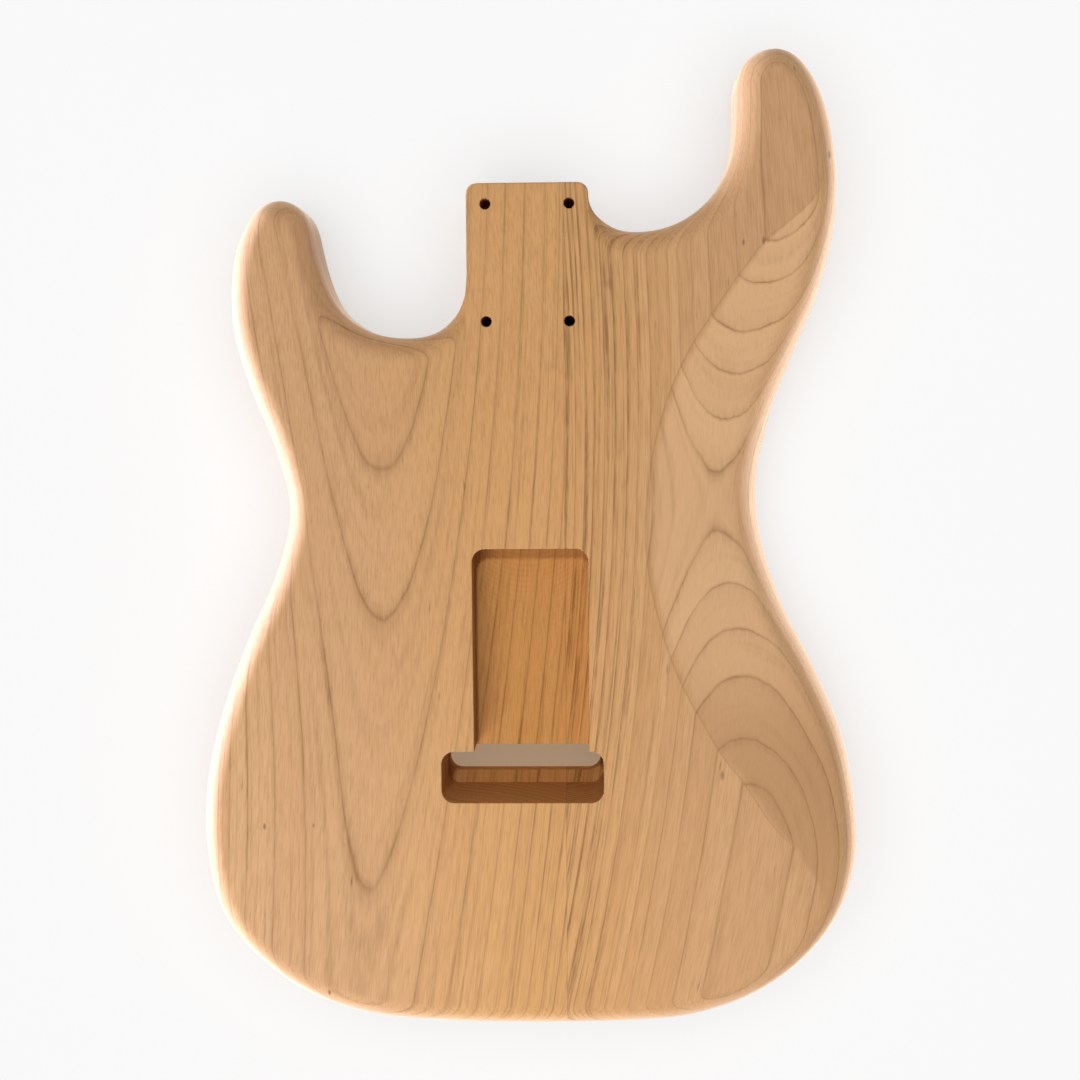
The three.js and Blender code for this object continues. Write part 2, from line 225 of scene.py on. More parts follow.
# Where contours may begin, and where smoothing and the edge radius are reached in full, in
# outline points from the heel
heelBlend = {"contours": 1, "smoothing": 2, "radius": 3}
bassCutaway = [
    (0, 0.704), (0.014, 0.683), (0.054, 0.664), (0.119, 0.647),
    (0.204, 0.645), (0.296, 0.655), (0.387, 0.682), (0.464, 0.7255),
]
trebleCutaway = [
    (0.464, 0.496), (0.363, 0.452), (0.235, 0.437), (0.123, 0.445),
    (0.052, 0.474), (0.0105, 0.515), (0, 0.557),
]
bassTip = {
    "middle": (0.727, 0.9277),
    "radius": 17,
    "before": [(-1.15, -2), (-1.005, -0.88)],
    "angles": (175, 42),
    "after": [(1.158, 0.073), (1.478, -0.77)],
}
trebleTip = {
    "middle": (-0.728, 0.651),
    "radius": 15.2,
    "before": [(-1.547, -1.84), (-1.379, -0.618)],
    "angles": (155, 15),
    "after": [(1.133, -0.526), (1.395, -1.515)],
}
outerEdge = [
    (0.909, 0.779), (0.911, 0.66), (0.869, 0.523), (0.803, 0.404), (0.739, 0.285),
    (0.697, 0.149), (0.708, 0.034), (0.775, -0.115), (0.875, -0.251), (0.956, -0.383),
    (0.994, -0.519), (0.999, -0.632), (0.955, -0.751), (0.855, -0.851), (0.692, -0.935),
    (0.49, -0.983), (0.281, -0.996), (-0.0125, -1), (-0.281, -0.996), (-0.502, -0.981),
    (-0.68, -0.94), (-0.837, -0.865), (-0.95, -0.767), (-0.997, -0.638), (-0.992, -0.481),
    (-0.943, -0.34), (-0.862, -0.1915), (-0.7625, -0.0425), (-0.7155, 0.085), (-0.75, 0.204),
    (-0.822, 0.332), (-0.869, 0.4425),
]
# "bend" is the share of a contour's slope that comes only towards the edge
bellyCut = {
    "start": 0.4, "end": 12.3, "depth": 16, "width": 62, "bend": 0.1,
    "depthShares": [0, 0.29, 0.66, 0.86, 0.99, 0.95, 0.75, 0.57, 0.27, 0.08, 0],
    "widthShares": [0.13, 0.547, 0.71, 0.823, 0.879, 0.956, 0.994, 0.939, 0.761, 0.46, 0.08],
    "plainEdge": 0.3,  # where its paler wood begins, as a share of the edge radius
}
forearmCut = {
    "start": 6.5, "end": 16, "depth": 13, "width": 78, "bend": 0.3,
    "depthShares": [0, 0.3, 0.74, 1, 1, 0.82, 0.46, 0.14, 0],
    "widthShares": [0.17, 0.5, 0.82, 1, 0.98, 0.84, 0.6, 0.36, 0.17],
}
fineness = {
    "curveSteps": 40,  # between two outline points
    "tipSteps": 6,
    "heelCornerSteps": 24,
    "fineStep": 0.25,  # along the edge, while it is evened out
    "edgeSmoothing": 3.5,  # the sander's evening-out of the edge, in mm along it
    "smoothingReach": 3,  # times as far
    "stationSpacing": 1.9,  # along the edge
    "roundSteps": 12,  # strips in each round-over
    "contourSteps": 26,
}


def easeInOut(share):
    return share * share * (3 - 2 * share)


# Cubic curve between two values, given its slopes at both ends
def cubicBetween(start, end, leave, arrive, t):
    bend = -3 * start + 3 * end - 2 * leave - arrive
    twist = 2 * start - 2 * end + leave + arrive
    return start + leave * t + bend * t**2 + twist * t**3


# Length along a line at each of its points
def runLength(points):
    steps = np.linalg.norm(np.diff(points, axis=0), axis=1)
    return np.concatenate([[0], np.cumsum(steps)])


# Smooth curve through points that lie unevenly, with the knots eased by the root of their spacing
def curveThrough(points, steps):
    points = np.asarray(points, float)
    points = np.vstack([2 * points[0] - points[1], points, 2 * points[-1] - points[-2]])
    shares = (np.arange(steps) / steps)[:, None]
    rows = []
    for a, b, c, d in zip(points, points[1:], points[2:], points[3:]):
        gaps = [math.sqrt(np.linalg.norm(q - p)) for p, q in ((a, b), (b, c), (c, d))]
        leave = (b - a) / gaps[0] - (c - a) / (gaps[0] + gaps[1]) + (c - b) / gaps[1]
        arrive = (c - b) / gaps[1] - (d - b) / (gaps[1] + gaps[2]) + (d - c) / gaps[2]
        rows.append(cubicBetween(b, c, leave * gaps[1], arrive * gaps[1], shares))
    return np.vstack([*rows, points[-2:-1]])


def outlinePoints(size):
    halfWidth, halfLength = size["width"] / 2, size["length"] / 2

    def cutaway(shares, side):
        heel = size["centreLineX"] + side * size["heelWidth"] / 2
        return [(heel + (side * halfWidth - heel) * s, u * halfLength) for s, u in shares]

    def tip(horn):
        middle = (horn["middle"][0] * halfWidth, horn["middle"][1] * halfLength)
        angles = np.radians(np.linspace(*horn["angles"], fineness["tipSteps"]))
        shares = [*horn["before"], *zip(np.cos(angles), np.sin(angles)), *horn["after"]]
        radius = horn["radius"]
        return [(middle[0] + x * radius, middle[1] + y * radius) for x, y in shares]

    before = cutaway(bassCutaway, 1) + tip(bassTip)
    outer = [(x * halfWidth, y * halfLength) for x, y in outerEdge]
    after = tip(trebleTip) + cutaway(trebleCutaway, -1)
    return before + outer + after, len(before)


# Closed edge with evenly spaced stations. "along" counts outline points, and is 0 on the heel.
def edgeStations(size):
    points, outerStart = outlinePoints(size)
    steps = fineness["curveSteps"]
    swept = curveThrough(points, steps)
    along = np.arange(len(swept)) / steps
    radius = size["heelCornerRadius"]
    heelY = size["heelEnd"] * size["length"] / 2 - radius
    corners = []
    for side, angles in ((-1, (180, 90)), (1, (90, 0))):
        middleX = size["centreLineX"] + side * (size["heelWidth"] / 2 - radius)
        turns = np.radians(np.linspace(*angles, fineness["heelCornerSteps"]))
        x, y = middleX + radius * np.cos(turns), heelY + radius * np.sin(turns)
        corners.append(np.column_stack([x, y]))
    loop = np.vstack([swept, *corners])[::-1]
    last = len(points) - 1
    onHeel = np.zeros(len(loop) - len(swept))
    fromHeel = np.concatenate([np.minimum(along, last - along), onHeel])[::-1]
    along = np.concatenate([along, onHeel])[::-1]

    closed = np.vstack([loop, loop[:1]])
    length = runLength(closed)
    step, spread = fineness["fineStep"], fineness["edgeSmoothing"]
    fine = np.arange(0, length[-1], step)
    xs, ys = (np.interp(fine, length, closed[:, k]) for k in (0, 1))
    away = np.interp(fine, length, np.append(fromHeel, fromHeel[0]))
    # even out the edge away from the heel
    reach = int(fineness["smoothingReach"] * spread / step)
    weights = np.exp(-0.5 * (np.arange(-reach, reach + 1) * step / spread) ** 2)
    weights /= weights.sum()
    share = np.clip(away / heelBlend["smoothing"], 0, 1)
    smooth = []
    for row in (xs, ys):
        padded = np.concatenate([row[-reach:], row, row[:reach]])
        smooth.append(row + share * (np.convolve(padded, weights, "valid") - row))
    closed = np.column_stack([np.append(s, s[0]) for s in smooth])
    run = runLength(closed)
    count = round(run[-1] / fineness["stationSpacing"])
    stops = np.arange(count) / count * run[-1]
    place = np.column_stack([np.interp(stops, run, closed[:, k]) for k in (0, 1)])
    marks = np.interp(stops, run, np.append(fine, length[-1]))
    away = np.interp(marks, length, np.append(fromHeel, fromHeel[0]))
    along = np.interp(marks, length, np.append(along, along[0]))
    way = np.roll(place, -1, axis=0) - np.roll(place, 1, axis=0)
    way /= np.linalg.norm(way, axis=1)[:, None]
    inward = np.column_stack([-way[:, 1], way[:, 0]])
    return place, inward, along - outerStart, away


# Depth and width of a carved contour at places along the edge, and none on the heel
def contourAt(cut, along, away):
    share = (along - cut["start"]) / (cut["end"] - cut["start"])
    inside = (share > 0) & (share < 1) & (away > heelBlend["contours"])
    sizes = []
    for name in ("depth", "width"):
        row = np.asarray(cut[name + "Shares"], float)
        padded = np.concatenate([row[:1], row, row[-1:]])
        spot = np.clip(share, 0, 1) * (len(row) - 1)
        index = np.minimum(spot.astype(int), len(row) - 2)
        a, b, c, d = (padded[index + k] for k in range(4))
        value = cubicBetween(b, c, (c - a) / 2, (d - b) / 2, spot - index)
        sizes.append(np.where(inside, np.maximum(value, 0) * cut[name], 0))
    return sizes


# How far a contour's surface lies below the flat face
def dropAt(depth, width, inset, bend):
    share = np.clip(1 - inset / np.maximum(width, 1e-6), 0, 1)  # some places have no width
    return depth * share * (1 - bend * (1 - share))


# Faces between closed rings of corners, and none where neighbouring rings share theirs
def joinRings(mesh, rings):
    for low, high in zip(rings, rings[1:]):
        for i in range(len(low)):
            j = (i + 1) % len(low)
            corners = list(dict.fromkeys((low[i], low[j], high[j], high[i])))
            if len(corners) > 2:
                mesh.faces.new(corners)


# Whole body before it is parted at the glue line and routed
def bodyBlank(size):
    place, inward, along, away = edgeStations(size)
    carvings = {"back": bellyCut, "front": forearmCut}
    contours = {face: contourAt(cut, along, away) for face, cut in carvings.items()}
    growth = easeInOut(np.clip(away / heelBlend["radius"], 0, 1))
    height = size["thickness"] - contours["back"][0] - contours["front"][0]
    radius = size["heelEdgeRadius"] + (size["edgeRadius"] - size["heelEdgeRadius"]) * growth
    radius = np.minimum(radius, height * size["mostRounding"])

    def facePoints(face, inset, fall):
        spot = place + inward * inset[:, None]
        depth = fall + dropAt(*contours[face], inset, carvings[face]["bend"])
        return np.column_stack([spot, size["thickness"] - depth if face == "back" else depth])

    turns = np.linspace(0, math.pi / 2, fineness["roundSteps"] + 1)
    rings = [("front", t) for t in turns] + [("back", t) for t in turns[::-1]]
    rows = [facePoints(f, radius * (1 - math.sin(t)), radius * (1 - math.cos(t))) for f, t in rings]
    mesh = bmesh.new()
    grid = [[mesh.verts.new(p * mm) for p in row] for row in rows]
    joinRings(mesh, grid)
    for face, rim in (("front", grid[0]), ("back", grid[-1])):
        depth, width = contours[face]
        carved = width > radius
        strips = [list(rim)]
        for step in range(1, fineness["contourSteps"] + 1):
            inset = radius + (width - radius) * step / fineness["contourSteps"]
            row = facePoints(face, np.where(carved, inset, radius), np.zeros(len(place)))
            row = [mesh.verts.new(p * mm) if c else v for p, c, v in zip(row, carved, rim)]
            strips.append(row)
        joinRings(mesh, strips)
        mesh.faces.new(strips[-1])
    bmesh.ops.triangulate(mesh, faces=[f for f in mesh.faces if len(f.verts) < 5])
    bmesh.ops.recalc_face_normals(mesh, faces=mesh.faces)
    return objectFrom(mesh, "bodyBlank")


def objectFrom(mesh, name):
    data = bpy.data.meshes.new(name)
    mesh.to_mesh(data)
    mesh.free()
    piece = bpy.data.objects.new(name, data)
    bpy.context.collection.objects.link(piece)
    return piece


blank = bodyBlank(bodySizes)
print("body blank shaped,", len(blank.data.polygons), "faces")

# Router cuts. Each leaves a slightly eased mouth, as sanding the faces does.

cavities = {
    "mouth": 0.45,  # eased edge
    "mouthSteps": 4,
    "cornerSteps": 12,
    "overrun": 3,  # of a cutter beyond the face that it enters
    "cornerRadius": 6.2,
    "springWidth": 55.4, "springLength": 98.2, "springDepth": 16, "springNeckEndY": 2.6,
    "blockWidth": 78.4, "blockLength": 25.2, "blockDepth": 38, "blockOffsetX": -4.4,
    "slotWidth": 76.8, "slotLength": 16.5, "slotLedge": 6.5,
    "pocketWall": 2, "pocketLength": 76, "pocketDepth": 16, "pocketCornerRadius": 6,
    "pickupWidth": 89, "pickupLength": 22, "pickupDepth": 16,
    "pickups": [(67, 0), (7, 0), (-52, 9)],  # place along the body and angle in degrees
    "controlX": -92, "controlY": -84, "controlLength": 124, "controlWidth": 42,
    "controlDepth": 37, "controlAngle": 64, "controlCornerRadius": 12,
    "jackX": -109, "jackY": -185, "jackLength": 48, "jackWidth": 22, "jackDepth": 30,
    "jackAngle": -42, "jackCornerRadius": 8,
    "wireX": -22, "wireWidth": 12, "wireDepth": 13, "wireCornerRadius": 4,
}


# Upright cutter with round corners. It enters from one face and stops at a depth.
def routerCut(name, face, middle, size, depth, radius=None, angle=0):
    radius = radius or cavities["cornerRadius"]
    mouth = cavities["mouth"]
    turns = np.linspace(0, math.pi / 2, cavities["mouthSteps"] + 1)
    profile = [(mouth * (1 - math.cos(t)), mouth * (1 - math.sin(t))) for t in turns]
    profile = [(0, depth), *profile, (mouth, -cavities["overrun"])]
    turns = np.linspace(0, math.pi / 2, cavities["cornerSteps"] + 1)
    tilt = math.radians(angle)
    mesh = bmesh.new()
    rings = []
    for grow, down in profile:
        z = bodySizes["thickness"] - down if face == "back" else down
        ring = []
        for quarter, (sideX, sideY) in enumerate(((1, 1), (-1, 1), (-1, -1), (1, -1))):
            for a in turns + quarter * math.pi / 2:
                x = sideX * (size[0] / 2 - radius) + (radius + grow) * math.cos(a)
                y = sideY * (size[1] / 2 - radius) + (radius + grow) * math.sin(a)
                turnedX = x * math.cos(tilt) - y * math.sin(tilt)
                turnedY = x * math.sin(tilt) + y * math.cos(tilt)
                spot = Vector((middle[0] + turnedX, middle[1] + turnedY, z))
                ring.append(mesh.verts.new(spot * mm))
        rings.append(ring)
    joinRings(mesh, rings)
    mesh.faces.new(rings[0])
    mesh.faces.new(rings[-1])
    bmesh.ops.recalc_face_normals(mesh, faces=mesh.faces)
    return objectFrom(mesh, name)


# Channel for wires, in the front
def wireCut(name, start, end):
    run = Vector(end) - Vector(start)
    middle = (Vector(end) + Vector(start)) / 2
    size = (run.length + cavities["wireWidth"], cavities["wireWidth"])
    angle = math.degrees(math.atan2(run.y, run.x))
    depth, radius = cavities["wireDepth"], cavities["wireCornerRadius"]
    return routerCut(name, "front", middle, size, depth, radius, angle)


def cavityCuts(c):
    centre = bodySizes["centreLineX"]
    blockX = centre + c["blockOffsetX"]
    blockTop = c["springNeckEndY"] - c["springLength"]
    blockY = blockTop - c["blockLength"] / 2
    slotY = blockTop - c["blockLength"] + c["slotLedge"] + c["slotLength"] / 2
    springRun = c["springLength"] + c["blockLength"] / 2
    springY = c["springNeckEndY"] - springRun / 2
    heelY = bodySizes["heelEnd"] * bodySizes["length"] / 2
    pocketRadius = c["pocketCornerRadius"]
    pocketRun = c["pocketLength"] + pocketRadius + c["overrun"]
    pocketY = heelY - c["pocketLength"] + pocketRun / 2
    springSize = (c["springWidth"], springRun)
    blockSize = (c["blockWidth"], c["blockLength"])
    slotSize = (c["slotWidth"], c["slotLength"])
    pocketSize = (bodySizes["heelWidth"] - 2 * c["pocketWall"], pocketRun)
    pickupSize = (c["pickupWidth"], c["pickupLength"])
    slotDepth = bodySizes["thickness"] - c["blockDepth"] + c["overrun"]
    control, jack = (c["controlX"], c["controlY"]), (c["jackX"], c["jackY"])
    neckPickup, bridgePickup = (c["wireX"], c["pickups"][0][0]), (c["wireX"], c["pickups"][-1][0])
    controlTop = (c["controlX"], c["controlY"] + c["controlWidth"] / 2)
    fromFront = [
        ("slotCut", (blockX, slotY), slotSize, slotDepth),
        ("pocketCut", (centre, pocketY), pocketSize, c["pocketDepth"], pocketRadius),
    ]
    for y, angle in c["pickups"]:
        fromFront.append(("pickupCut", (centre, y), pickupSize, c["pickupDepth"], None, angle))
    for name, middle in (("control", control), ("jack", jack)):
        size = (c[name + "Length"], c[name + "Width"])
        end = (c[name + "Depth"], c[name + "CornerRadius"], c[name + "Angle"])
        fromFront.append((name + "Cut", middle, size, *end))
    return [
        routerCut("springCut", "back", (centre, springY), springSize, c["springDepth"]),
        routerCut("blockCut", "back", (blockX, blockY), blockSize, c["blockDepth"]),
        *[routerCut(name, "front", *rest) for name, *rest in fromFront],
        wireCut("pickupWireCut", neckPickup, bridgePickup),
        wireCut("controlWireCut", bridgePickup, controlTop),
        wireCut("jackWireCut", control, jack),
    ]


screwHoles = {
    "Diameter": 5,
    "Spacing X": 39,
    "Spacing Y": 54.1,
    "Setback": 9.6,  # of the first pair, from the heel's end
    "Mouth": 0.5,
}


# Geometry Nodes: four drill-shaped cutters at the corners of the neck plate's pattern
def screwHoleCut(holes):
    tree = bpy.data.node_groups.new("neck screw holes", "GeometryNodeTree")
    for name in holes:
        socket = tree.interface.new_socket(name, in_out="INPUT", socket_type="NodeSocketFloat")
        socket.subtype = "DISTANCE"
    tree.interface.new_socket("Material", in_out="INPUT", socket_type="NodeSocketMaterial")
    tree.interface.new_socket("Geometry", in_out="OUTPUT", socket_type="NodeSocketGeometry")
    given = addNode(tree, "NodeGroupInput").outputs
    # one cutter: a cylinder whose rings are its foot, the steps of its eased mouth, and its top
    steps = cavities["mouthSteps"]
    radius = calculate(tree, "DIVIDE", given["Diameter"], 2.0)
    drill = {
        "Vertices": 4 * cavities["cornerSteps"],
        "Side Segments": steps + 2,
        "Radius": radius,
        "Depth": steps + 2.0,
    }
    drill = addNode(tree, "GeometryNodeMeshCylinder", drill, fill_type="NGON")
    position = addNode(tree, "GeometryNodeInputPosition")
    x, y, z = addNode(tree, "ShaderNodeSeparateXYZ", {0: position}).outputs
    level = calculate(tree, "ADD", z, steps / 2 + 1)  # 0 is the foot
    turn = rescale(tree, level, 1.0, steps + 1.0, 0.0, math.pi / 2)
    opening = calculate(tree, "SUBTRACT", 1.0, calculate(tree, "COSINE", turn))
    share = calculate(tree, "DIVIDE", given["Mouth"], radius)
    grow = calculate(tree, "MULTIPLY_ADD", opening, share, 1.0)
    over = cavities["overrun"] * mm
    lower = calculate(tree, "SUBTRACT", bodySizes["thickness"] * mm, given["Mouth"])
    rise = calculate(tree, "MULTIPLY_ADD", calculate(tree, "SINE", turn), given["Mouth"], lower)
    # the top clears the back, and the foot opens into the neck pocket
    atTop = calculate(tree, "GREATER_THAN", level, steps + 1.5)
    rise = calculate(tree, "MULTIPLY_ADD", atTop, over, rise)
    atFoot = calculate(tree, "LESS_THAN", level, 0.5)
    rise = {0: atFoot, 2: rise, 3: cavities["pocketDepth"] * mm - over}
    rise = addNode(tree, "ShaderNodeMix", rise, data_type="FLOAT")
    moved = [calculate(tree, "MULTIPLY", x, grow), calculate(tree, "MULTIPLY", y, grow), rise]
    moved = addNode(tree, "ShaderNodeCombineXYZ", dict(enumerate(moved)))
    drill = addNode(tree, "GeometryNodeSetPosition", {"Geometry": drill, "Position": moved})
    # the pattern
    pattern = {"Size X": given["Spacing X"], "Size Y": given["Spacing Y"]}
    pattern = addNode(tree, "GeometryNodeMeshGrid", {**pattern, "Vertices X": 2, "Vertices Y": 2})
    setback = calculate(tree, "DIVIDE", given["Spacing Y"], 2.0)
    setback = calculate(tree, "ADD", setback, given["Setback"])
    heelY = bodySizes["heelEnd"] * bodySizes["length"] / 2 * mm
    middleY = calculate(tree, "SUBTRACT", heelY, setback)
    middle = addNode(tree, "ShaderNodeCombineXYZ", {0: bodySizes["centreLineX"] * mm, 1: middleY})
    pattern = addNode(tree, "GeometryNodeSetPosition", {"Geometry": pattern, "Offset": middle})
    drills = addNode(tree, "GeometryNodeInstanceOnPoints", {"Points": pattern, "Instance": drill})
    real = addNode(tree, "GeometryNodeRealizeInstances", {"Geometry": drills})
    finished = {"Geometry": real, "Material": given["Material"]}
    finished = addNode(tree, "GeometryNodeSetMaterial", finished)
    addNode(tree, "NodeGroupOutput", {"Geometry": finished})

    holder = objectFrom(bmesh.new(), "screwHoleCut")
    modifier = holder.modifiers.new("holes", "NODES")
    modifier.node_group = tree
    for item in tree.interface.items_tree:
        if item.in_out == "INPUT" and item.name in holes:
            modifier[item.identifier] = holes[item.name] * mm
    return plainMesh(holder)


# Replaces an object's modifiers with their result
def plainMesh(piece):
    bpy.context.view_layer.update()
    evaluated = piece.evaluated_get(bpy.context.evaluated_depsgraph_get())
    mesh = bpy.data.meshes.new_from_object(evaluated)
    piece.modifiers.clear()
    piece.data = mesh
    return piece


cuts = [*cavityCuts(cavities), screwHoleCut(screwHoles)]
print(len(cuts), "cutters made")

# Two boards, parted at the glue line, with all cavities cut

boardCutting = {
    "margin": 5,  # of the slab that holds a board, beyond the body
    "mergeWithin": 0.002,
    "sharpFrom": 34,  # degrees
    "routedFrom": 0.6,  # of the mouth's size, away from the body's skin
    "gluedWithin": 0.01,  # of the glue line
}


# One board: what the blank and a slab share, less the cuts
def cutBoard(name, lowX, highX):
    margin = boardCutting["margin"]
    halfY = bodySizes["length"] / 2 + margin
    corners = [
        Vector((x, y, z)) * mm
        for z in (-margin, bodySizes["thickness"] + margin)
        for y in (-halfY, halfY)
        for x in (lowX, highX)
    ]
    sides = (0, 2, 3, 1), (4, 5, 7, 6), (0, 1, 5, 4), (2, 6, 7, 3), (0, 4, 6, 2), (1, 3, 7, 5)
    mesh = bmesh.new()
    verts = [mesh.verts.new(c) for c in corners]
    for side in sides:
        mesh.faces.new([verts[k] for k in side])
    bmesh.ops.recalc_face_normals(mesh, faces=mesh.faces)
    slab = objectFrom(mesh, name + "Slab")
    board = bpy.data.objects.new(name, blank.data.copy())
    bpy.context.collection.objects.link(board)
    for tool, operation in [(cut, "DIFFERENCE") for cut in cuts] + [(slab, "INTERSECT")]:
        modifier = board.modifiers.new(tool.name, "BOOLEAN")
        modifier.operation = operation
        modifier.object = tool
        modifier.solver = "MANIFOLD"
    plainMesh(board)
    bpy.data.objects.remove(slab)
    tidy = bmesh.new()
    tidy.from_mesh(board.data)
    bmesh.ops.remove_doubles(tidy, verts=tidy.verts, dist=boardCutting["mergeWithin"] * mm)
    bmesh.ops.recalc_face_normals(tidy, faces=tidy.faces)
    tidy.to_mesh(board.data)
    tidy.free()
    board.data.shade_smooth()
    board.data.set_sharp_from_angle(angle=math.radians(boardCutting["sharpFrom"]))
    routedFrom = cavities["mouth"] * boardCutting["routedFrom"] * mm
    for face in board.data.polygons:
        inside = skin.find_nearest(face.center)[3] > routedFrom
        fromGlueLine = abs(face.center.x - bodySizes["glueLineX"] * mm)
        glued = fromGlueLine < boardCutting["gluedWithin"] * mm
        face.material_index = int(inside and not glued)
    evening = board.modifiers.new("flat faces stay flat", "WEIGHTED_NORMAL")
    evening.keep_sharp = True
    return plainMesh(board)


# Marks how far into the belly contour each point lies, 0 at its crease and 1 at the body's edge,
# and where it is clear of the rounded edge, on which its tone fades out
def markBelly(board):
    place, _, along, away = edgeStations(bodySizes)
    width = contourAt(bellyCut, along, away)[1]
    carved = np.flatnonzero(width)
    tree = KDTree(len(carved))
    for index in carved:
        tree.insert((*place[index], 0), index)
    tree.balance()
    marks = []
    for vertex in board.data.vertices:
        x, y, z = vertex.co / mm
        _, index, inset = tree.find((x, y, 0))
        share = max(0, 1 - inset / width[index]) if z > bodySizes["edgeRadius"] else 0
        fromEdge = min(1, max(0, inset / bodySizes["edgeRadius"] - bellyCut["plainEdge"]))
        marks += (share, easeInOut(fromEdge), 0)
    mark = board.data.attributes.new("belly", "FLOAT_VECTOR", "POINT")
    mark.data.foreach_set("vector", marks)


halfWidth = bodySizes["width"] / 2 + boardCutting["margin"]
skin = BVHTree.FromObject(blank, bpy.context.evaluated_depsgraph_get())
trebleBoard = cutBoard("trebleBoard", -halfWidth, bodySizes["glueLineX"])
bassBoard = cutBoard("bassBoard", bodySizes["glueLineX"], halfWidth)
markBelly(bassBoard)
for helper in [blank, *cuts]:
    bpy.data.objects.remove(helper)
for board in (trebleBoard, bassBoard):
    routedFaces = sum(face.material_index for face in board.data.polygons)
    print(board.name, "cut,", len(board.data.polygons), "faces,", routedFaces, "of them routed")

# Alder, flat-sawn, planed and sanded bare. The growth rings are drawn through the whole
# board, as rings round its pith, so they bend wherever the surface is carved.

alder = {
    "colours": {
        "pale": "#DEAF7E",  # early wood
        "deep": "#C99566",  # darker growth bands
        "golden": "#D99F5A",  # towards the middle of the tree
        "carved": "#EFC08F",  # belly: paler cut rings and painted highlight, towards the neck
        "shade": "#BE8E60",  # painted shade on the belly's tail end, which faces away from the light
        "ring": "#96683A",  # late-wood line
        "fibre": "#AE7F4F",
        "pore": "#85603A",
        "knot": "#5E3A1E",
        "fuzz": "#FFEEDA",  # fibre ends that catch the light along the edges
        "routed": "#F0E5D4",  # painted shade: a browner, darker tint of the cavities
    },
    # sizes across the grain and along it, in mm
    "waves": [(26, 150, 0.16), (5, 34, 0.05), (2.2, 13, 0.027)],  # and how far each sways a ring
    "patches": (45, 190),  # of paler and deeper tone
    "fading": (14, 80),  # places where the rings are fainter
    "dashes": (1.6, 15),  # short darker pieces of a band
    "fibres": (0.55, 13),  # real fibres are finer; this is the finest that shows
    "pores": (1.0, 10),  # drawn coarser than real ones for the same reason
    "rays": (8, 48),
    "streaks": (0.9, 130, 70),  # the last is their size round the pith
    # share of the deep colour: the least, and what a ring's own tone and a patch add
    "leastDeep": 0.04,
    "ringDeep": 0.42,
    "patchDeep": 0.5,
    # golden wood: its middle line, distances where it is full and ends, and a patch's part in them
    "goldenZone": {"x": 6, "full": 30, "none": 125, "sway": 50, "share": 0.7},
    # in each of these lines, two levels of what steers it, and its strength at each
    "fadingRange": (0.3, 0.7, 0.4, 1.0),
    "dashRange": (0.38, 0.64, 0.55, 1.45),
    "fibreRange": (0.42, 0.75, 0.0, 0.52),
    "speckRange": (0.0, 0.5, 0.9, 2.2),  # more pores and rays beside the rings
    "routerRange": (-35, -8, 0.2, 1.0),  # marks are clearest at the spring cavity's neck end
    "roughness": (0.3, 0.7, 0.56, 0.68),
    "streakLevels": (0.5, 0.72),
    "leastRing": 0.6,  # strength of the faintest ring, where the strongest has 1
    "mostRing": 0.95,
    # how far from its middle a speck shows, its strength, and the share of specks left out
    "poreSpecks": (0.2, 0.42, 0.35),
    "raySpecks": (0.075, 0.75, 0.55),
    "knotEdge": (1.2, 0.2),  # where a knot ends and where it is full, as shares of its size
    "knotSlimness": 0.45,  # width to length
    "jointWidth": 0.3,  # the real glue line is finer
    "jointShare": 0.5,
    "routerStep": 2.6,  # between the router's passes
    "routerBow": 30,  # radius
    "routerMarks": 0.16,
    "relief": 0.05,
    "reliefShare": 0.5,
}
bellyTones = {
    "softness": 0.09,  # of the tone's edge, as a share of the contour's width
    # colour, where along the body it begins and is full, and its share there. The paler tone is
    # partly a painted highlight and the browner one painted shade, as the belly turns to and from
    # the light
    "tones": [("carved", -110, -20, 0.6), ("shade", -45, -120, 0.7)],
    "crease": (0.001, 0.008, 0.01, 0.028),  # where its line begins, is full, fades and ends
    "creaseShare": 0.34,
    "calm": 0.3,  # fibres and pores that are left there, as it was sanded more
}
# Pith line (across, and above the back) with its lean and bend along the body, in mm and
# hundreds of mm, and the radius of each ring from the pith
trebleGrain = {
    "pithX": (-68.57, 1.9, -2.45),
    "pithHeight": (80, -5.98, -0.99),
    "rings": [52, 58, 64.5, 71, 77.46, 81.77, 87.18, 92.56, 98.91, 106.12],
    "then": [5.2, 4.6, 5.4, 4.8, 4.4, 5.1, 4.7, 5.5, 4.9],  # ring widths further out, repeated
    "last": 172,  # radius that they reach
    # place within a ring, then strength of the line and of the band
    "profile": [
        (0, 1, 0.8), (0.025, 0.3, 0.6), (0.09, 0, 0.45), (0.14, 0, 0.08), (0.2, 0, 0.2),
        (0.26, 0, 0.02), (0.6, 0, 0), (0.9, 0, 0.12), (0.972, 0.2, 0.5), (1, 1, 0.8),
    ],
    "lineStrength": 0.8,
    "bandStrength": (80, 150, 0.5, 0.62),  # two radii, and the strength at each
    "streakStrength": 0.6,
    "seed": 3.0,  # for the tone and strength of each ring
    # pin knots: place, size and strength
    "knots": [(-128.9, -132.4, 0.9, 0.7), (-104.9, -131.9, 0.7, 0.5), (-99.2, -216.5, 0.9, 0.8)],
}
